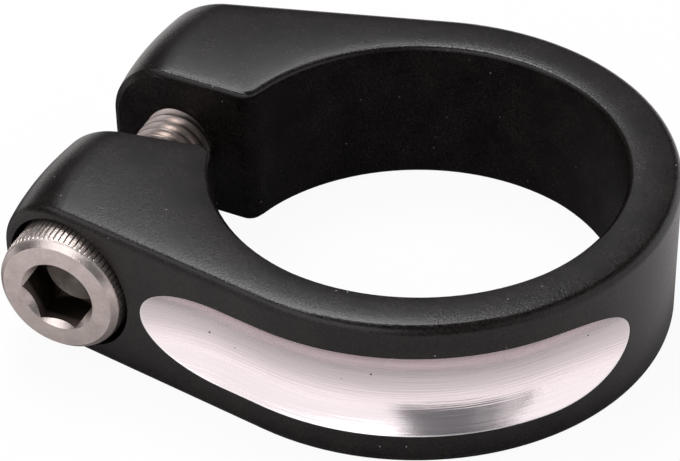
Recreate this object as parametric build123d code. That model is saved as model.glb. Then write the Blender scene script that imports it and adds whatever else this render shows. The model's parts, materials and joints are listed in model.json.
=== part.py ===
from build123d import *
import math
import os

# Seatpost clamp: a split aluminium collar drawn together by one socket head screw.
# The origin is on the bore axis at mid height. +Z is the bore axis, the ears point
# along -X, and the screw lies along Y with its head on the -Y side. Millimetres.

# Driving sizes of the collar
bore_radius = 15.9
ring_wall = 4.07           # opposite the ears
ring_setback = 0.3         # how far the ring's outside is centred off the bore, towards the ears
slit_mouth = 6.8           # width of the slit where it opens into the bore
slit_flare = 5.0           # degrees that each cheek of the slit opens towards the ears' end
flank_taper = 12.7         # degrees that each ear flank turns in towards the screw
screw_setback = 6.42       # from the bore wall out to the screw axis
ear_lip = 0.73             # left round the counterbore, above and below
ear_end_lip = 0.93         # left beyond the counterbore at the ears' end
ear_end_flat = 1.85        # straight height left between the rounded corners of an ear's end
edge_radius = 0.69         # rounding of the outer edges
rim_chamfer = 0.47         # along the rims of the bore and the slit
slit_corner_radius = 1.5   # rounding where the slit opens into the bore, seen from above

# Driving sizes of the window milled in the near wall
groove_radius = 5.15       # radius of the round-nosed cutter
groove_depth = 1.56
groove_flank_run = 3.65    # from the ring's end along the flank to where the cutter lifts
groove_lift_radius = 13.9  # arc on which the cutter lifts off the flank
groove_ring_angle = 50.2   # degrees round the ring, past -Y, to where the cutter leaves it

# Driving sizes of the screw
thread_radius = 3.0
shank_length = 25.0
shank_chamfer = 0.8
head_radius = 5.1          # over the knurl
head_height = 6.0
head_edge = 0.45           # chamfer round the head's face
head_proud = 1.95          # how far the head stands out of the flank, on the screw's axis
socket_flats = 5.1
socket_depth = 3.3
socket_turn = 3.0          # degrees that the socket happens to be turned by
socket_countersink = 0.05  # how far the countersink reaches past the socket's corners
drill_point_angle = 118.0  # degrees, of the cone at the bottom of the socket

# Clearances
head_clearance = 0.45      # round the head in its counterbore
shank_clearance = 0.3      # round the shank in the near ear
thread_clearance = 0.05    # between the screw and the tapped far ear
cut_margin = 0.5           # how far a cutter reaches past what it cuts
rounding_share = 0.95      # the most of a wall that a rounding may take
same_place = 1e-4          # two points closer than this count as one

# Worked out from the sizes above
outer_radius = bore_radius + ring_wall + ring_setback
ring_centre = Vector(-ring_setback, 0)
counterbore_radius = head_radius + head_clearance
half_height = counterbore_radius + ear_lip
screw_x = -(bore_radius + screw_setback)
ear_end_x = screw_x - counterbore_radius - ear_end_lip
taper = math.radians(flank_taper)
tangent_x = -ring_setback - outer_radius * math.sin(taper)
tangent_y = outer_radius * math.cos(taper)


def flank_y(x):
    """Half width of the collar at x, on the flanks."""
    return tangent_y + (x - tangent_x) * math.tan(taper)


def slit_y(x):
    """Half width of the slit at x."""
    return slit_mouth / 2 - (x + bore_radius) * math.tan(math.radians(slit_flare))


seat_y = head_height - head_proud - flank_y(screw_x)
screw_axis = Plane(origin=(screw_x, 0, 0), x_dir=(1, 0, 0), z_dir=(0, 1, 0))


def along_screw(radius, start_y, end_y):
    """Cylinder on the screw's axis between two places along Y."""
    circle = screw_axis.offset(start_y) * Circle(radius)
    return extrude(circle, end_y - start_y)


def beyond_ear(side):
    """What is cut away at an ear's end, which is round in side view and crowned in plan."""
    profile = Pos(ear_end_x / 2, 0) * Rectangle(-ear_end_x, 2 * half_height)
    corners = profile.vertices().group_by(Axis.X)[0]
    disc = revolve(Plane.XZ * fillet(corners, half_height - ear_end_flat / 2), Axis.Z)
    ear_middle = (flank_y(ear_end_x) + slit_y(ear_end_x)) / 2
    length = cut_margin - ear_end_x - bore_radius
    block = Box(length, outer_radius, 2 * half_height, align=(Align.MAX, Align.CENTER, Align.CENTER))
    return Pos(-bore_radius, side * outer_radius / 2) * block - Pos(0, side * ear_middle) * disc


def ring_and_ears():
    """Solid outline: a ring with two tapering flanks and crowned ear ends."""
    front = (bore_radius + ring_wall, 0)
    ring = ThreePointArc((tangent_x, -tangent_y), front, (tangent_x, tangent_y))
    far_corner = (ear_end_x, flank_y(ear_end_x))
    near_corner = (ear_end_x, -flank_y(ear_end_x))
    ears = Polyline((tangent_x, tangent_y), far_corner, near_corner, (tangent_x, -tangent_y))
    body = extrude(make_face(Curve() + [ring, ears]), half_height, both=True)
    return body - beyond_ear(1) - beyond_ear(-1)


def round_outer_edges(body):
    """Round the long edges that run along the ring and the flanks and over the ears' end."""
    upright = ShapeList(f for f in body.faces() if abs(f.normal_at().Z) < math.sin(taper))
    walls = upright.sort_by(Axis.X)[2:]
    edges = ShapeList(edge for wall in walls for edge in wall.edges())
    seams = [tangent_y, -tangent_y]
    rims = [e for e in edges if min(abs(e.center().Y - y) for y in seams) > same_place]
    return fillet(rims, min(edge_radius, rounding_share * ear_lip))


def slit_outline():
    """Plan of the slit, from inside the bore out past the ears' end."""
    end_x = ear_end_x - cut_margin
    far_side = [(0, slit_y(0)), (end_x, slit_y(end_x))]
    near_side = [(end_x, -slit_y(end_x)), (0, -slit_y(0))]
    return make_face(Polyline(*far_side, *near_side, close=True))


def cut_opening(body):
    """Bore and slit as one opening, with a chamfer that runs all the way along its rims."""
    opening = Circle(bore_radius) + slit_outline()
    corners = [v for v in opening.vertices() if screw_x < v.X < 0]
    opening = fillet(corners, slit_corner_radius)
    cutter = extrude(opening, 2 * half_height, both=True)
    split = body - cutter
    return chamfer(new_edges(body, cutter, combined=split), rim_chamfer)


def cut_screw_holes(body):
    """Counterbore and clearance hole in the near ear, tapped hole in the far ear."""
    reach = outer_radius + cut_margin
    body -= along_screw(counterbore_radius, -reach, seat_y)
    body -= along_screw(thread_radius + shank_clearance, -reach, 0)
    return body - along_screw(thread_radius + thread_clearance, 0, reach)


def groove_path():
    """Path of the cutter's centre: off the flank, along it, round the ring and straight out."""
    path_radius = outer_radius + groove_radius - groove_depth
    along = Vector(-math.cos(taper), math.sin(taper))
    out = Vector(-math.sin(taper), -math.cos(taper))
    ring_start = ring_centre + out * path_radius
    lift_start = ring_start + along * groove_flank_run
    lift_angle = math.acos(1 - (groove_depth + cut_margin) / groove_lift_radius)
    lift_run = groove_lift_radius * math.sin(lift_angle)
    lift_end = lift_start + along * lift_run + out * (groove_depth + cut_margin)
    leave = math.radians(groove_ring_angle - 90)
    ring_end = ring_centre + Vector(math.cos(leave), math.sin(leave)) * path_radius
    clear_radius = outer_radius + groove_radius + cut_margin
    run_out = math.sqrt(clear_radius**2 - path_radius**2)
    path_end = ring_end + Vector(-math.sin(leave), math.cos(leave)) * run_out
    lift = TangentArc(lift_start, lift_end, tangent=along)
    flank = Line(lift_start, ring_start)
    ring = TangentArc(ring_start, ring_end, tangent=-along)
    straight = Line(ring_end, path_end)
    return Wire([lift, flank, ring, straight])


def cut_window(body):
    """Concave window milled along the near wall, running out at both ends."""
    path = groove_path()
    start = Plane(origin=path @ 0, z_dir=path % 0)
    return body - sweep(start * Circle(groove_radius), path=path)


def clamp_collar():
    """Ring, ears, slit, bore, screw holes and window in one piece."""
    body = round_outer_edges(ring_and_ears())
    body = cut_opening(body)
    body = cut_screw_holes(body)
    return cut_window(body)


def hex_socket(face_y):
    """Hexagon with a drilled cone at its bottom and a countersink at its mouth."""
    corner = socket_flats / math.sqrt(3)
    hexagon = screw_axis.offset(face_y) * RegularPolygon(corner, 6, rotation=socket_turn)
    drill_radius = socket_flats / 2
    point_height = drill_radius / math.tan(math.radians(drill_point_angle / 2))
    point_centre = face_y + socket_depth + point_height / 2
    point = screw_axis.offset(point_centre) * Cone(drill_radius, 0, point_height)
    sink_radius = corner + socket_countersink
    sink = screw_axis.offset(face_y + sink_radius / 2) * Cone(sink_radius, 0, sink_radius)
    return extrude(hexagon, socket_depth) + point + sink


def clamp_bolt():
    """Socket head cap screw with its head seated in the counterbore."""
    face_y = seat_y - head_height
    head = along_screw(head_radius, face_y, seat_y)
    head = chamfer(head.edges().sort_by(Axis.Y)[0], head_edge)
    shank = along_screw(thread_radius, seat_y, seat_y + shank_length)
    shank = chamfer(shank.edges().sort_by(Axis.Y)[-1], shank_chamfer)
    return head + shank - hex_socket(face_y)


os.makedirs("parts", exist_ok=True)
for name, solid in (("clamp_collar", clamp_collar()), ("clamp_bolt", clamp_bolt())):
    print(name, "solids", len(solid.solids()), "volume", round(solid.volume, 1))
    export_step(solid, f"parts/{name}.step")
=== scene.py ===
# %% [markdown]
# Seatpost clamp, dressed for its portrait.
# The real clamp is a split aluminium collar, anodised satin black, with a window milled bright
# in its near wall, and one stainless socket head screw that draws its two ears together.
# The packed model already has the true shapes. Here the collar keeps its solid and gets a
# finish, while the screw is modelled again with the thread and the knurl that its solid lacks.

# %% Load the frame
import json
import math

import bmesh
import bpy
from mathutils import Matrix, Vector


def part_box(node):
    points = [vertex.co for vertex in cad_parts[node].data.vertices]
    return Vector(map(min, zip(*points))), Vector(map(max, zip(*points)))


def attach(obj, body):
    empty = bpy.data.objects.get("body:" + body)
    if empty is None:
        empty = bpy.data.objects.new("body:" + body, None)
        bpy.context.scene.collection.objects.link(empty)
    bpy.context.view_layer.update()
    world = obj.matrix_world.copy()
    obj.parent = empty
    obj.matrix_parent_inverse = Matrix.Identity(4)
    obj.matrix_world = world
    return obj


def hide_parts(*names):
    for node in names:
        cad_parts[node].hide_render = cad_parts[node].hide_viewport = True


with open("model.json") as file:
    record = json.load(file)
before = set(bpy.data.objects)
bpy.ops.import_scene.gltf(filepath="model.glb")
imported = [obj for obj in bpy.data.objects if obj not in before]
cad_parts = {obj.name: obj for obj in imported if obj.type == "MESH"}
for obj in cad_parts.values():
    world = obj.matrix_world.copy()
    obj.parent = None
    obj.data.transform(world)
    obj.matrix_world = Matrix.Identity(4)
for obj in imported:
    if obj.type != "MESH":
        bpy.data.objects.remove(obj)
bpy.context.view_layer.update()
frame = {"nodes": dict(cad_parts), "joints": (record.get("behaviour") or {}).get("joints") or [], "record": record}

mm = 0.001

# %% [markdown]
# The frame tells where everything is, so the places below are measured from it and not typed
# in again: the joint gives the screw's axis, the screw's box gives its two ends, and the
# collar's box gives the height and the outside of the ring, which is as wide as the box and
# ends at its front. Only sizes that a box can't show are written as numbers.

# %% Measure the frame
collar_low, collar_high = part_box("clamp_collar")
screw_low, screw_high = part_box("clamp_bolt")
half_height = collar_high.z
ring_radius = collar_high.y
ring_x = collar_high.x - ring_radius
bore_radius = frame["record"]["mounts"][0]["dims"]["r_mm"] * mm
screw_x = frame["joints"][0]["pos_m"][0]
head_radius = (screw_high.x - screw_low.x) / 2
face_y = screw_low.y
tip_y = screw_high.y
head_height = 6 * mm
seat_y = face_y + head_height
print(f"ring {ring_radius / mm:.2f} mm, centred at x {ring_x / mm:.2f} mm")
print(f"screw axis at x {screw_x / mm:.2f} mm, head face at y {face_y / mm:.2f} mm")

# %% [markdown]
# Node trees are easier to read as sums than as boxes and wires. This class wraps one output
# socket, and Python's own operators on it add the Math nodes. Every other node, in a material
# or in a geometry tree, comes from its one method `add`: settings first, then the sockets.


# %% A socket that can be calculated with
class Wire:
    """One output socket of a node tree, with arithmetic."""

    def __init__(self, tree, socket):
        self.tree = tree
        self.socket = socket

    @staticmethod
    def add(tree, kind, settings=(), sockets=(), output=0):
        """Add a node, set it up, connect it, and give a wire from one of its outputs."""
        node = tree.nodes.new(kind)
        for name, value in dict(settings).items():
            setattr(node, name, value)
        for key, value in dict(sockets).items():
            if isinstance(value, Wire):
                tree.links.new(value.socket, node.inputs[key])
            else:
                node.inputs[key].default_value = value
        return Wire(tree, node.outputs[output])

    def other(self, output):
        """Another output of the same node."""
        return Wire(self.tree, self.socket.node.outputs[output])

    def into(self, node, key):
        """Connect this wire to a node's input."""
        self.tree.links.new(self.socket, node.inputs[key])

    def math(self, operation, *values):
        """A Math node of these values."""
        sockets = dict(enumerate(values))
        return Wire.add(self.tree, "ShaderNodeMath", {"operation": operation}, sockets)

    def __add__(self, value):
        return self.math("ADD", self, value)

    def __radd__(self, value):
        return self.math("ADD", value, self)

    def __sub__(self, value):
        return self.math("SUBTRACT", self, value)

    def __rsub__(self, value):
        return self.math("SUBTRACT", value, self)

    def __mul__(self, value):
        return self.math("MULTIPLY", self, value)

    def __rmul__(self, value):
        return self.math("MULTIPLY", value, self)

    def __truediv__(self, value):
        return self.math("DIVIDE", self, value)

    def __rtruediv__(self, value):
        return self.math("DIVIDE", value, self)

    def __neg__(self):
        return self.math("MULTIPLY", self, -1.0)

    def __gt__(self, value):
        return self.math("GREATER_THAN", self, value)

    def __lt__(self, value):
        return self.math("LESS_THAN", self, value)

    def __abs__(self):
        return self.math("ABSOLUTE", self)

    def apply(self, operation):
        """A Math node of one value, such as SQRT, SIGN, SINE or COSINE."""
        return self.math(operation, self)

    def least(self, value):
        """The smaller of this wire and a value."""
        return self.math("MINIMUM", self, value)

    def most(self, value):
        """The larger of this wire and a value."""
        return self.math("MAXIMUM", self, value)

    def ramp(self, low, high, at_low=0.0, at_high=1.0):
        """Straight from at_low to at_high as this wire goes from low to high, and level outside."""
        sockets = {0: self, 1: low, 2: high, 3: at_low, 4: at_high}
        return Wire.add(self.tree, "ShaderNodeMapRange", (), sockets)

    def blend(self, first, second):
        """A number that goes from first to second as this wire goes from 0 to 1."""
        return Wire.add(self.tree, "ShaderNodeMix", (), {0: self, 2: first, 3: second})

    def tint(self, first, second):
        """A colour that goes from first to second as this wire goes from 0 to 1."""
        sockets = {0: self, 6: first, 7: second}
        return Wire.add(self.tree, "ShaderNodeMix", {"data_type": "RGBA"}, sockets, output=2)


print("Wire's methods:", ", ".join(name for name in vars(Wire) if not name.startswith("__")))

# %% [markdown]
# All finishes read Object coordinates, so they stay on the metal when the screw turns and when
# the model is baked. In millimetres the numbers are easy to relate to the real thing.


# %% Starting a finish
def start_finish(name):
    """A new material, its tree, its shader, and where a point is, in millimetres."""
    material = bpy.data.materials.new(name)
    material.use_nodes = True
    tree = material.node_tree
    shader = tree.nodes["Principled BSDF"]
    metres = Wire.add(tree, "ShaderNodeTexCoord", (), (), "Object")
    sockets = {0: metres, "Scale": 1 / mm}
    place = Wire.add(tree, "ShaderNodeVectorMath", {"operation": "SCALE"}, sockets)
    return material, tree, shader, place


def split(place):
    """The three numbers of a place."""
    x = Wire.add(place.tree, "ShaderNodeSeparateXYZ", (), {0: place}, "X")
    return x, x.other("Y"), x.other("Z")


def join(tree, x, y, z):
    """A place made of three numbers."""
    return Wire.add(tree, "ShaderNodeCombineXYZ", (), {0: x, 1: y, 2: z})


def noise(place, per_mm, detail):
    """Soft noise from 0 to 1, with about this many lumps in a millimetre."""
    sockets = {"Vector": place, "Scale": per_mm, "Detail": detail}
    return Wire.add(place.tree, "ShaderNodeTexNoise", (), sockets)


def specks(place, per_mm, size, share):
    """1 on small round dots: this share of the cells has a dot, of this size against the cell."""
    sockets = {"Vector": place, "Scale": per_mm}
    distance = Wire.add(place.tree, "ShaderNodeTexVoronoi", (), sockets, "Distance")
    chance = split(distance.other("Color"))[0]
    return (distance < size) * (chance < share)


def bump(height, depth, normal):
    """A normal tilted by a height, where a height of 1 is this real depth in metres."""
    sockets = {"Strength": 1.0, "Distance": depth, "Height": height, "Normal": normal}
    return Wire.add(height.tree, "ShaderNodeBump", (), sockets)


print("finishes are measured in millimetres")

# %% [markdown]
# The collar's finish changes from place to place, and painting faces by hand would need a second
# mesh. Instead the material works out where a point lies: how deep below the outer wall, which
# is a round ring with two straight flanks, and how far from the rim of the bore and the slit.

# %% Where a point lies on the collar
flank_taper = math.radians(12.7)
slit_flare = math.radians(5.0)
# Plain lengths in the finishes are in millimetres, and those multiplied by mm are in metres
slit_half_width = 3.4
edge_radius = 0.69
rim_chamfer = 0.47


def outer_wall(x, y):
    """Depth below the outer wall, run along it, and the way out of it, as two numbers."""
    sine = math.sin(flank_taper)
    cosine = math.cos(flank_taper)
    radius = ring_radius / mm
    ahead = x - ring_x / mm
    reach = (ahead * ahead + y * y).apply("SQRT")
    along = ahead * -cosine - abs(y) * sine
    on_flank = along > 0
    depth = radius - on_flank.blend(reach, abs(y) * cosine - ahead * sine)
    angle = y.math("ARCTAN2", y, ahead) + (math.pi / 2 + flank_taper)
    run = on_flank.blend(angle * radius, -along)
    out_x = on_flank.blend(ahead / reach, -sine)
    out_y = on_flank.blend(y / reach, y.apply("SIGN") * cosine)
    return depth, run, (out_x, out_y)


def inner_rim(x, y):
    """Distance from the bore or the slit into the metal, and the way back, as two numbers."""
    reach = (x * x + y * y).apply("SQRT")
    from_bore = reach - bore_radius / mm
    from_slit = abs(y) - slit_half_width + (x + bore_radius / mm) * math.tan(slit_flare)
    at_slit = (from_slit < from_bore) * (x < 0)
    back_x = at_slit.blend(-x / reach, 0.0)
    back_y = at_slit.blend(-y / reach, -y.apply("SIGN"))
    return at_slit.blend(from_bore, from_slit), (back_x, back_y)


print("flanks taper by", round(math.degrees(flank_taper), 1), "degrees")

# %% [markdown]
# Blasting and tumbling leave no edge crisp and no face quite flat: the top is a little crowned
# from the bore to the outer wall, leans over more before it reaches an edge, and the rims of the
# bore and slit are round. A soft light then draws a line that fades into the face. All this is
# far too shallow to need its own faces, so it goes into the normal.

# %% Softened edges
roll_reach = 1.3
roll_angle = math.radians(4)
crown_angle = math.radians(7)
narrowest_face = 0.1
# How far up the normal of a chamfered rim points, at least and at most
rim_least_up = 0.6
rim_most_up = 0.8
rim_margin = 0.05
rise_margin = 0.02


def softened_normal(z, depth, out_way, off_rim, back_way):
    """The solid's normal, crowned, leaning towards near edges and turning evenly across rims."""
    tree = z.tree
    normal = split(Wire.add(tree, "ShaderNodeNewGeometry", (), (), "Normal"))
    up_share = abs(normal[2])
    to_wall = depth.ramp(edge_radius, edge_radius + roll_reach, 1.0, 0.0)
    to_rim = off_rim.ramp(rim_chamfer, rim_chamfer + roll_reach, 1.0, 0.0)
    level = up_share.ramp(rim_least_up, 1.0)
    lean = level * math.tan(roll_angle)
    face_width = (off_rim + depth).most(narrowest_face)
    crown = level * math.tan(crown_angle) * (off_rim - depth) / face_width
    lean_out = to_wall * to_wall * lean + crown
    lean_back = to_rim * to_rim * lean
    rolled = [n + lean_out * o + lean_back * b for n, o, b in zip(normal, out_way, back_way)]
    rise = (abs(z) - (half_height / mm - rim_chamfer)) / rim_chamfer
    turn = rise.ramp(0.0, 1.0, 0.0, math.pi / 2 - roll_angle)
    rounded = [b * turn.apply("COSINE") for b in back_way]
    sloping = (up_share > rim_least_up) * (up_share < rim_most_up)
    on_rim = sloping * (off_rim < rim_chamfer + rim_margin) * (rise > -rise_margin)
    x, y = [on_rim.blend(flat, bent) for flat, bent in zip(rolled, rounded)]
    up = on_rim.blend(normal[2], turn.apply("SINE") * z.apply("SIGN"))
    sockets = {0: join(tree, x, y, up)}
    return Wire.add(tree, "ShaderNodeVectorMath", {"operation": "NORMALIZE"}, sockets)


crown_degrees = round(math.degrees(crown_angle))
roll_degrees = round(math.degrees(roll_angle))
print("faces are crowned by", crown_degrees, "degrees and lean", roll_degrees, "more at an edge")

# %% [markdown]
# The window was milled after the anodising, through the skin, so whatever lies a little below the
# outer wall there is bare. A mask finds it from the depth, with the counterbore and the far side
# left out. A second material on picked faces could do it too, but it would depend on how the
# solid happens to be cut into triangles.

# %% Where the window is
skin_depth = 0.03
skin_blur = 0.01
window_floor = 1.75
window_half_height = 3.9
counterbore_reach = 5.6
counterbore_x = screw_x / mm + counterbore_reach


def window_mask(x, y, z, depth):
    """1 on the milled window and 0 on the anodised skin."""
    below_skin = depth.ramp(skin_depth - skin_blur, skin_depth + skin_blur)
    in_height = abs(z) < window_half_height
    near_side = (y < 0) * (x > counterbore_x)
    return below_skin * (depth < window_floor) * in_height * near_side


print("window starts", skin_depth, "mm below the outer wall, ahead of x", round(counterbore_x, 2), "mm")

# %% [markdown]
# The skin is dyed oxide over blasted aluminium. It is almost black, and what shows is the satin
# reflection on it, so its grain matters more than its colour. The bare metal of the window has
# cutter lines along it, which are noise stretched along the wall, and a thin lip, a little
# rougher and painted paler as a highlight, where it meets the skin. One material holds both, so
# they meet without a seam.

# %% Black anodised collar with its bright window
lip_depth = 0.12
line_stretch = 0.012
band_stretch = 0.04
band_offset = 7.0
grain_height = 0.006 * mm
skin_ior = 1.34
skin_black = (0.0018, 0.0010, 0.0009, 1)
skin_worn = (0.0165, 0.0130, 0.0125, 1)
skin_chipped = (0.24, 0.22, 0.22, 1)
bare_metal = (0.97, 0.885, 0.90, 1)
bare_metal_dull = (0.87, 0.795, 0.815, 1)
# Paler, as a painted highlight along the window's edge
lip_painted_highlight = (0.97, 0.94, 0.95, 1)


def anodised_finish():
    """Grained black skin, and bright metal with cutter lines where the window is."""
    material, tree, shader, place = start_finish("anodised_aluminium")
    x, y, z = split(place)
    depth, run, out_way = outer_wall(x, y)
    off_rim, back_way = inner_rim(x, y)
    window = window_mask(x, y, z, depth)

    mottle = noise(place, per_mm=0.35, detail=4.0)
    grain = noise(place, per_mm=5.0, detail=3.0)
    dust = noise(place, per_mm=11.0, detail=1.0)
    chips = specks(place, per_mm=1.1, size=0.07, share=0.16)
    wear = (mottle * 0.25 + grain * 0.35 + dust * 0.4).ramp(0.4, 0.62)
    skin = chips.tint(wear.tint(skin_black, skin_worn), skin_chipped)
    skin_rough = 0.2 + grain * 0.08 + mottle * 0.04
    skin_bumps = grain * 2.4 + dust * 2.2

    lines = noise(join(tree, run * line_stretch, z, 0.0), per_mm=9.0, detail=2.0)
    bands = noise(join(tree, run * band_stretch, z, band_offset), per_mm=0.9, detail=2.0)
    pits = specks(place, per_mm=0.9, size=0.09, share=0.12)
    lip = depth.ramp(lip_depth, skin_depth)
    polish = (lines * 0.65 + bands * 0.35).ramp(0.32, 0.68)
    pitted = pits.tint(polish.tint(bare_metal_dull, bare_metal), skin_chipped)
    # Painted highlight: the thin lip where the window meets the skin is paler, and it is rougher too
    bright = lip.tint(pitted, lip_painted_highlight)
    bare_rough = 0.15 + lines * 0.06 + lip * 0.3
    bare_bumps = lines * 3.0

    window.tint(skin, bright).into(shader, "Base Color")
    window.into(shader, "Metallic")
    window.blend(skin_rough, bare_rough).into(shader, "Roughness")
    normal = softened_normal(z, depth, out_way, off_rim, back_way)
    bump(window.blend(skin_bumps, bare_bumps), grain_height, normal).into(shader, "Normal")
    shader.inputs["IOR"].default_value = skin_ior
    return material


collar = frame["nodes"]["clamp_collar"]
collar.material_slots[0].material = anodised_finish()
print("collar keeps its solid, finished in", collar.material_slots[0].material.name)

# %% [markdown]
# The screw's colour is darkened with painted shade in the knurl's grooves, in the thread's roots
# and on its flanks, and down in the socket. It could be painted, but the places follow from the
# shape: how far a point is from the screw's axis and how deep below its face. A short function
# for each piece says how much painted shade a point gets.

# %% Painted shade on the screw
knurl_depth = 0.14 * mm
knurl_root = head_radius - knurl_depth
socket_flats = 5.1 * mm
socket_corner = socket_flats / math.sqrt(3)
socket_depth = 3.3 * mm
# How much painted shade, from 0 to 1, and between which two places it comes or goes, in millimetres
groove_shade = 0.9
groove_shade_depths = (0.7, 1.1)
crest_unshaded = 0.03
wall_shade = 0.55
wall_shade_depths = (0.4, 1.4)
point_shade = 0.85
point_shade_radii = (1.45, 1.75)
bottom_margin = 0.02
root_shade = 0.7
root_shade_radii = (2.42, 2.65)
flank_shade = 0.3
flank_shade_radii = (2.6, 2.93)


def head_painted_shade(off_axis, deep):
    """Painted shade in the knurl's grooves and down in the socket."""
    # Painted shade: the knurl's grooves are darkened, from a little behind the face
    in_groove = off_axis.ramp(knurl_root / mm, head_radius / mm - crest_unshaded, groove_shade, 0.0)
    groove = in_groove * deep.ramp(*groove_shade_depths)
    # Painted shade: the socket's walls darken with depth, and its drilled point is darkened most
    wall = deep.ramp(*wall_shade_depths, 0.0, wall_shade)
    point = off_axis.ramp(*point_shade_radii, point_shade, 0.0)
    at_bottom = deep > socket_depth / mm - bottom_margin
    socket = at_bottom.blend(wall, point)
    return groove.most(socket * (off_axis < socket_corner / mm))


def thread_painted_shade(off_axis, deep):
    """Painted shade in the roots of the thread and on its flanks, thinning out towards the polished crests."""
    # Painted shade: the roots are darkened most and the flanks a little, so the crests read bright
    root = off_axis.ramp(*root_shade_radii, root_shade, 0.0)
    return root + off_axis.ramp(*flank_shade_radii, flank_shade, 0.0)


print("dirt fills the grooves from", groove_shade_depths[0], "mm below the head's face")

# %% [markdown]
# The screw is stainless: warm grey, satin on the turned face and rougher round the side. Noise in
# rings round the axis gives the turning marks, and a blotchy one the wear of use. Head and thread
# share one function and differ only in where painted shade darkens them.

# %% Stainless steel
steel = (0.63, 0.557, 0.528, 1)
steel_dull = (0.48, 0.42, 0.395, 1)
# The dark colour that painted shade tints the steel towards
steel_shaded = (0.035, 0.029, 0.022, 1)
side_radii = (4.86, 4.98)
side_extra_rough = 0.17
side_extra_dents = 50
turned_stretch = 0.3
mark_height = 0.004 * mm


def stainless_finish(name, painted_shade):
    """Steel with turning marks, darkened with painted shade where the given function puts it."""
    material, tree, shader, place = start_finish(name)
    x, y, z = split(place)
    side = x - screw_x / mm
    off_axis = (side * side + z * z).apply("SQRT")
    blotch = noise(place, per_mm=0.8, detail=5.0)
    grain = noise(place, per_mm=7.0, detail=3.0)
    turned = noise(join(tree, off_axis, y * turned_stretch, 0.0), per_mm=6.0, detail=2.0)
    dents = noise(place, per_mm=3.5, detail=4.0)
    clean = (blotch * 0.5 + turned * 0.2 + dents * 0.3).ramp(0.36, 0.6).tint(steel_dull, steel)
    # Painted shade: the colour is darkened where the shade function says, a little unevenly
    shade_share = painted_shade(off_axis, y - face_y / mm) * blotch.ramp(0.2, 0.5, 0.8, 1.0)
    shade_share.tint(clean, steel_shaded).into(shader, "Base Color")
    shader.inputs["Metallic"].default_value = 1
    side_rough = off_axis.ramp(*side_radii, 0.0, side_extra_rough)
    (0.22 + blotch * 0.14 + grain * 0.06 + side_rough).into(shader, "Roughness")
    flat = Wire.add(tree, "ShaderNodeNewGeometry", (), (), "Normal")
    marks = grain * 1.2 + turned * 0.8 + dents * (1.5 + side_rough * side_extra_dents)
    bump(marks, mark_height, flat).into(shader, "Normal")
    return material


head_steel = stainless_finish("stainless_head", head_painted_shade)
thread_steel = stainless_finish("stainless_thread", thread_painted_shade)
print("two finishes of the same steel:", head_steel.name, thread_steel.name)

# %% [markdown]
# Thread and knurl both follow a rule, so each is grown by a geometry tree: a flat grid whose
# points are moved to where the rule puts them. The trees take their main sizes as named inputs,
# which are set on the modifier before it runs. What they grow is kept as a plain mesh.


# %% Geometry tree helpers
def start_tree(name, sizes):
    """A geometry tree with a named input for each size, and wires from its inputs by name."""
    tree = bpy.data.node_groups.new(name, "GeometryNodeTree")
    tree.interface.new_socket("Geometry", in_out="INPUT", socket_type="NodeSocketGeometry")
    tree.interface.new_socket("Geometry", in_out="OUTPUT", socket_type="NodeSocketGeometry")
    for size, value in sizes.items():
        kind = "NodeSocketInt" if isinstance(value, int) else "NodeSocketFloat"
        tree.interface.new_socket(size, in_out="INPUT", socket_type=kind)
    given = Wire.add(tree, "NodeGroupInput")
    return tree, {key: given.other(key) for key in ("Geometry", *sizes)}


def unit_grid(tree, columns, rows):
    """A flat grid, one by one, and how far across and along it each point is, from 0 to 1."""
    grid = Wire.add(tree, "GeometryNodeMeshGrid", (), {
        "Size X": 1.0, "Size Y": 1.0, "Vertices X": columns + 1, "Vertices Y": rows + 1,
    })
    across, along = split(Wire.add(tree, "GeometryNodeInputPosition"))[:2]
    return grid, across + 0.5, along + 0.5


def end_tree(tree, geometry, material):
    """Make instances real, close the seams, give the material, and connect the output."""
    real = Wire.add(tree, "GeometryNodeRealizeInstances", (), {0: geometry})
    sockets = {"Geometry": real, "Distance": 0.001 * mm}
    merged = Wire.add(tree, "GeometryNodeMergeByDistance", (), sockets)
    sockets = {"Geometry": merged, "Material": material}
    painted = Wire.add(tree, "GeometryNodeSetMaterial", (), sockets)
    painted.into(tree.nodes.new("NodeGroupOutput"), 0)


def grown(name, mesh, tree, sizes, sharp_degrees):
    """Run a geometry tree on a mesh and keep the result as a plain mesh object, facing outwards."""
    thing = bpy.data.objects.new(name, mesh)
    bpy.context.scene.collection.objects.link(thing)
    modifier = thing.modifiers.new(name, "NODES")
    modifier.node_group = tree
    for item in tree.interface.items_tree:
        if item.in_out == "INPUT" and item.name in sizes:
            modifier[item.identifier] = sizes[item.name]
    shown = thing.evaluated_get(bpy.context.evaluated_depsgraph_get())
    result = bpy.data.meshes.new_from_object(shown)
    thing.modifiers.remove(modifier)
    shape = bmesh.new()
    shape.from_mesh(result)
    bmesh.ops.recalc_face_normals(shape, faces=shape.faces)
    open_edges = sum(not edge.is_manifold for edge in shape.edges)
    shape.to_mesh(result)
    shape.free()
    result.shade_smooth()
    result.set_sharp_from_angle(angle=math.radians(sharp_degrees))
    result.name = name
    thing.data = result
    print(name, "has", len(result.polygons), "faces and", open_edges, "open edges")
    return thing


print("geometry trees get named sizes")

# %% [markdown]
# The thread is a metric coarse one: a ridge with a 1 mm pitch that winds right-handed down
# the shank. A screw modifier could wind a profile, but its ends would need cutting by hand.
# Here the tree bends a flat grid round the shank, with its rows lying along the ridge, so that
# the crest and the root are crisp edges. The first and last rows close the ends.

# %% Thread
thread_radius = 3 * mm
thread_depth = 0.61 * mm
end_bevel = 0.8 * mm
rows_per_pitch = 16
spare_turns = 2
turns_before_seat = 1.5
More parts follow.
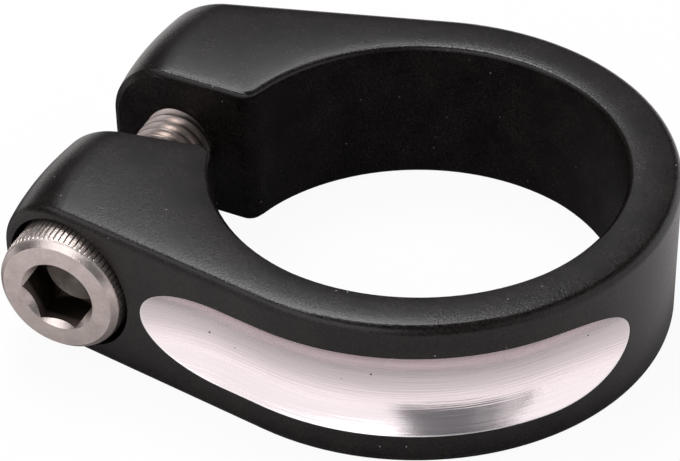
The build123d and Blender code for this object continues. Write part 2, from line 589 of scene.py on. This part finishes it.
# Shares of half a pitch, from the middle of a groove, where the flank starts and ends
flank_start = 0.25
flank_end = 0.86
pole_share = 0.4999
thread_sizes = {
    "Pitch": 1 * mm,
    "Crest Radius": thread_radius,
    "Root Radius": thread_radius - thread_depth,
    "End Radius": thread_radius - end_bevel,
    "Start": seat_y,
    "Length": tip_y - seat_y,
    "Columns": 72,
    "Rows": rows_per_pitch * (round((tip_y - seat_y) / mm) + spare_turns),
}


def thread_tree():
    """A grid wound round the shank, a row of it for each part of a turn."""
    tree, size = start_tree("thread", thread_sizes)
    grid, across, along = unit_grid(tree, size["Columns"], size["Rows"])
    angle = across * (2 * math.pi)
    turns = along * size["Rows"] / rows_per_pitch - turns_before_seat
    rise = abs(turns.apply("FRACT") * 2 - 1).ramp(flank_start, flank_end)
    full = rise.blend(size["Root Radius"], size["Crest Radius"])
    place = ((turns + across) * size["Pitch"]).most(0.0).least(size["Length"])
    to_end = (size["Length"] - place).least(place)
    at_pole = abs(along - 0.5) > pole_share
    radius = at_pole.blend(full.least(size["End Radius"] + to_end), 0.0)
    x = radius * angle.apply("SINE") + screw_x
    z = radius * angle.apply("COSINE")
    sockets = {"Geometry": grid, "Position": join(tree, x, place + size["Start"], z)}
    wound = Wire.add(tree, "GeometryNodeSetPosition", (), sockets)
    end_tree(tree, wound, thread_steel)
    return tree


empty_mesh = bpy.data.meshes.new("thread")
thread = grown("screw_thread", empty_mesh, thread_tree(), thread_sizes, sharp_degrees=25)

# %% [markdown]
# The head is turned, with a bevelled face, and has a hexagon socket with a countersunk mouth and
# a drilled point. Boolean cuts would leave long thin triangles there. Instead the face and the
# socket are rings of points, with as many columns as the knurl has, so the two join without a gap.

# %% Rings of the head
knurl_ridges = 72
columns_per_ridge = 6
columns = knurl_ridges * columns_per_ridge
face_chamfer = 0.46 * mm
back_bevel = 0.3 * mm
sink_radius = socket_corner + 0.05 * mm
drill_half_angle = math.radians(59)
point_depth = socket_depth + socket_flats / 2 / math.tan(drill_half_angle)
socket_turn = math.radians(57)
wall_shares = (0.35, 0.7, 1)
face_radii = (sink_radius, 3.4 * mm, 4.0 * mm, knurl_root - face_chamfer)


def hexagon(column):
    """Distance from the axis to the socket's wall at a column."""
    from_flat = (column % (columns / 6)) / columns * 2 * math.pi - math.pi / 6
    return socket_flats / 2 / math.cos(from_flat)


def sink_depth(column):
    """How deep below the face the countersink ends at a column."""
    return sink_radius - hexagon(column)


def head_rings():
    """Each ring of the socket and face, as radius and depth by column, from the middle out."""
    every = range(columns)
    yield [(socket_flats / 4, (socket_depth + point_depth) / 2) for j in every]
    yield [(socket_flats / 2, socket_depth) for j in every]
    yield [(hexagon(j), socket_depth) for j in every]
    for share in wall_shares:
        yield [(hexagon(j), socket_depth + share * (sink_depth(j) - socket_depth)) for j in every]
    for radius in face_radii:
        yield [(radius, 0) for j in every]


def on_head(radius, depth, angle):
    """A point of the head, its angle counted from +X towards +Z."""
    return (screw_x + radius * math.cos(angle), face_y + depth, radius * math.sin(angle))


def turned_head():
    """Face, socket and back of the head, open round the side."""
    mesh = bmesh.new()
    angles = [socket_turn + 2 * math.pi * j / columns for j in range(columns)]
    middle = mesh.verts.new(on_head(0, point_depth, 0))
    rings = []
    for ring in head_rings():
        rings.append([mesh.verts.new(on_head(r, d, a)) for (r, d), a in zip(ring, angles)])
    for j in range(columns):
        k = (j + 1) % columns
        mesh.faces.new((middle, rings[0][j], rings[0][k]))
        for inner, outer in zip(rings, rings[1:]):
            mesh.faces.new((inner[j], outer[j], outer[k], inner[k]))
    back = [mesh.verts.new(on_head(knurl_root - back_bevel, head_height, a)) for a in angles]
    mesh.faces.new(back[::-1])
    made = bpy.data.meshes.new("turned_head")
    mesh.to_mesh(made)
    mesh.free()
    return made


print("head has", columns, "columns and its socket turned", round(math.degrees(socket_turn)), "degrees")

# %% [markdown]
# The knurl is pressed into the head's side for fingers to grip: straight ridges parted by narrow
# grooves, which start a little behind the bevelled face. An Array modifier could repeat a ridge
# too, but the ridge would have to be drawn by hand. In the tree one ridge is a small grid, bevels
# and all, and points on the axis repeat it all the way round.

# %% Knurl
run_in_end = 2.5
# Rows lie closer together near the face, where the ridges start
row_crowding = 0.35
crowded_until = 0.7
knurl_sizes = {
    "Ridges": knurl_ridges,
    "Columns": columns_per_ridge,
    "Rows": 48,
    "Crest Radius": head_radius,
    "Root Radius": knurl_root,
    "Groove Share": 0.17,
    "Face Chamfer": face_chamfer,
    "Knurl Start": 0.44 * mm,
    "Back Bevel": back_bevel,
    "Height": head_height,
    "Start": face_y,
    "Turn": socket_turn,
}


def knurl_tree():
    """One ridge as a small grid, repeated round the axis and joined to the turned head."""
    tree, size = start_tree("knurl", knurl_sizes)
    grid, across, along = unit_grid(tree, size["Columns"], size["Rows"])
    step = 2 * math.pi / size["Ridges"]
    angle = across * step
    depth = along * along.ramp(0.0, crowded_until, row_crowding, 1.0) * size["Height"]
    fall = (size["Face Chamfer"] - depth).most(0.0)
    back_fall = (size["Back Bevel"] - size["Height"] + depth).most(0.0)
    out_of_groove = (0.5 - abs(across - 0.5)).ramp(0.0, size["Groove Share"])
    run_in = depth.ramp(size["Knurl Start"], size["Knurl Start"] * run_in_end)
    ridge = out_of_groove * run_in * (size["Crest Radius"] - size["Root Radius"])
    near_back = (size["Height"] - depth).ramp(0.0, size["Back Bevel"])
    radius = size["Root Radius"] - fall - back_fall + ridge * near_back
    where = join(tree, radius * angle.apply("COSINE"), depth, radius * angle.apply("SINE"))
    one = Wire.add(tree, "GeometryNodeSetPosition", (), {"Geometry": grid, "Position": where})
    spots = Wire.add(tree, "GeometryNodePoints", (), {
        "Count": size["Ridges"], "Position": join(tree, screw_x, size["Start"], 0.0),
    })
    index = Wire.add(tree, "GeometryNodeInputIndex")
    turned = join(tree, 0.0, -(index * step + size["Turn"]), 0.0)
    ridges = Wire.add(tree, "GeometryNodeInstanceOnPoints", (), {
        "Points": spots, "Instance": one, "Rotation": turned,
    })
    both = Wire.add(tree, "GeometryNodeJoinGeometry", (), {0: ridges})
    size["Geometry"].into(both.socket.node, 0)
    end_tree(tree, both, head_steel)
    return tree


head = grown("screw_head", turned_head(), knurl_tree(), knurl_sizes, sharp_degrees=28)

# %% [markdown]
# The real screw is one piece that turns in the collar. Its two meshes could be joined, but each
# has its own finish and its own crispness, so both ride on the screw's body instead. Together
# they stand for the packed solid, which is then not shown.

# %% Put the screw's pieces on its body
for piece in (thread, head):
    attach(piece, "screw")
    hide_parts("clamp_bolt")
print("screw stands for clamp_bolt")

# %% [markdown]
# The floor is plain and pale. To the eye it is white, as paper under a product is, and it still
# takes a little of the clamp's shadow. More light would make it white too, but would wash out the
# clamp, so the material asks which kind of ray sees it. What the clamp's own skin mirrors is the
# floor close by, and there its glow is painted with the clamp's shade: dark inside the ring and
# brighter further out.

# %% Floor
floor_reach = 40.0
floor_gap = 0.01 * mm
floor_pale = (0.82, 0.81, 0.81, 1)
floor_rough = 0.9
floor_white = 0.94
paper_white = (1, 1, 1, 1)
shade_inside = (0.08, 0.078, 0.078, 1)
shade_dark = (0.18, 0.175, 0.175, 1)
shade_open = (1.0, 0.95, 0.955, 1)
# In millimetres away from the outer wall, and how much of the shade is gone at the second
shade_start = 0.6
shade_near = 2.4
shade_far = 20.0
near_share = 0.42


def floor_finish():
    """White to the camera, with painted shade near the clamp to what mirrors it, and pale to all else."""
    material, tree, shader, place = start_finish("pale_floor")
    shader.inputs["Base Color"].default_value = floor_pale
    shader.inputs["Roughness"].default_value = floor_rough
    shader.inputs["Specular IOR Level"].default_value = 0.0
    x, y = split(place)[:2]
    away = -outer_wall(x, y)[0]
    near_open = away.ramp(shade_start, shade_near, 0.0, near_share)
    open_share = near_open + away.ramp(shade_near, shade_far, 0.0, 1 - near_share)
    camera_ray = Wire.add(tree, "ShaderNodeLightPath", (), (), "Is Camera Ray")
    mirror_ray = camera_ray.other("Is Glossy Ray")
    clear_ray = camera_ray.other("Is Transmission Ray")
    # Painted shade: what mirrors see of the floor is darkest inside the ring, dark near the clamp, brighter
    # further out
    shade = (away > 0).tint(shade_inside, shade_dark)
    mirrored = open_share.tint(shade, shade_open)
    seen = mirror_ray.tint(paper_white, mirrored)
    glow = Wire.add(tree, "ShaderNodeEmission", (), {"Color": seen, "Strength": 1.0})
    share = camera_ray * floor_white + mirror_ray + clear_ray * floor_white
    sockets = {0: share, 1: Wire(tree, shader.outputs[0]), 2: glow}
    mixed = Wire.add(tree, "ShaderNodeMixShader", (), sockets)
    mixed.into(tree.nodes["Material Output"], "Surface")
    return material


floor_z = collar_low.z - floor_gap
corner_signs = [(-1, -1), (1, -1), (1, 1), (-1, 1)]
floor_corners = [(floor_reach * x, floor_reach * y, floor_z) for x, y in corner_signs]
floor_mesh = bpy.data.meshes.new("floor")
floor_mesh.from_pydata(floor_corners, [], [(0, 1, 2, 3)])
floor = bpy.data.objects.new("floor", floor_mesh)
floor.data.materials.append(floor_finish())
bpy.context.scene.collection.objects.link(floor)
print("floor at z", round(floor_z / mm, 2), "mm")

# %% [markdown]
# The light is soft studio light, made of cards because polished metal shows the shape of whatever
# lights it. A small strong key high behind on the left draws the lines along the rims. Behind,
# the flat tops mirror three cards, one above the other, with a dimmer card to their right and a
# faint one below. Cards on the left and right fill the window, the right one with two narrow ones
# that soften its edge. One high on the left lights the bevel of the head, and one behind on the
# right lights the ring's side. A very dim card in front makes the dark patch in the window.
# Between the cards it stays dark, and that gives the metal its contrast.

# %% Lamps
plain_light = (1, 1, 1)
rosy_light = (1, 0.97, 0.975)
cool_light = (0.94, 0.96, 1.0)
studio_grey = (0.06, 0.061, 0.066, 1)
# Azimuth from +X towards +Y and elevation, in degrees; distance, width and height, in metres;
# radiance; colour
cards = {
    "key": (128, 63, 0.5, 0.2, 0.2, 13.0, plain_light),
    "left_card": (-108, 18, 0.5, 0.62, 0.46, 0.96, rosy_light),
    "left_high": (-128, 53, 0.55, 0.78, 0.26, 2.2, plain_light),
    "right_card": (1, 22, 0.5, 0.42, 0.5, 1.0, rosy_light),
    "right_edge": (-29, 18, 0.55, 0.1, 0.4, 0.5, rosy_light),
    "right_fade": (-39, 18, 0.57, 0.1, 0.4, 0.15, plain_light),
    "right_back": (48, 14, 0.55, 0.42, 0.3, 1.4, plain_light),
    "front_dim": (-60, 20, 0.58, 0.4, 0.5, 0.1, cool_light),
    "back_card": (99, 31, 0.6, 0.27, 0.17, 0.36, plain_light),
    "back_glow": (124, 36, 0.62, 0.19, 0.16, 1.05, plain_light),
    "back_fade": (112, 20, 0.64, 0.5, 0.16, 0.1, plain_light),
    "back_mid": (124, 46, 0.62, 0.2, 0.07, 1.0, plain_light),
    "back_high": (124, 54, 0.6, 0.24, 0.1, 1.3, plain_light),
}


def add_card(name, azimuth, elevation, distance, width, height, radiance, colour):
    """A rectangular soft lamp that faces the clamp."""
    lamp = bpy.data.lights.new(name, "AREA")
    lamp.shape = "RECTANGLE"
    lamp.size = width
    lamp.size_y = height
    lamp.energy = radiance * math.pi * width * height
    lamp.color = colour
    thing = bpy.data.objects.new(name, lamp)
    around = math.radians(azimuth)
    above = math.radians(elevation)
    level = math.cos(above)
    out = Vector((math.cos(around) * level, math.sin(around) * level, math.sin(above)))
    thing.location = out * distance
    thing.rotation_euler = out.to_track_quat("Z", "Y").to_euler()
    bpy.context.scene.collection.objects.link(thing)


for card_name, card_settings in cards.items():
    add_card(card_name, *card_settings)
world = bpy.data.worlds.new("studio")
world.use_nodes = True
world.node_tree.nodes["Background"].inputs["Color"].default_value = studio_grey
bpy.context.scene.world = world

# %% [markdown]
# The camera looks down on the clamp from the front right, from close by with a long lens. The
# numbers were fitted to the outline that the clamp makes in the picture. The camera turns about
# the ring's middle.

# %% Camera
view_elevation = math.radians(37.27)
view_turn = math.radians(-23.13)
view_roll = 0.02068
view_distance = 215.7 * mm
aim_right = -5.808 * mm
aim_up = -0.082 * mm

camera_data = bpy.data.cameras.new("camera")
camera_data.sensor_width = 36
camera_data.lens = 147.46
camera_data.clip_start = 0.01
camera = bpy.data.objects.new("camera", camera_data)
tilted = Matrix.Rotation(math.pi / 2 - view_elevation, 4, "X")
turned_to = Matrix.Rotation(-view_turn, 4, "Z") @ tilted
rolled_over = Matrix.Rotation(-view_roll, 4, "Z")
pulled_back = Matrix.Translation((aim_right, aim_up, view_distance)) @ rolled_over
camera.matrix_world = Matrix.Translation((ring_x, 0, 0)) @ turned_to @ pulled_back
bpy.context.scene.collection.objects.link(camera)
bpy.context.scene.camera = camera
bpy.context.scene.view_settings.view_transform = "Standard"
print("camera at", [round(v / mm, 2) for v in camera.matrix_world.translation], "mm")

# %% [markdown] The screw's pieces take their ends and radius from the packed screw's box, so the
# dressed clamp fills the same box as the packed one.
# The dressed clamp has to fill the same box as the packed one, or it would no longer fit where
# the real one does.
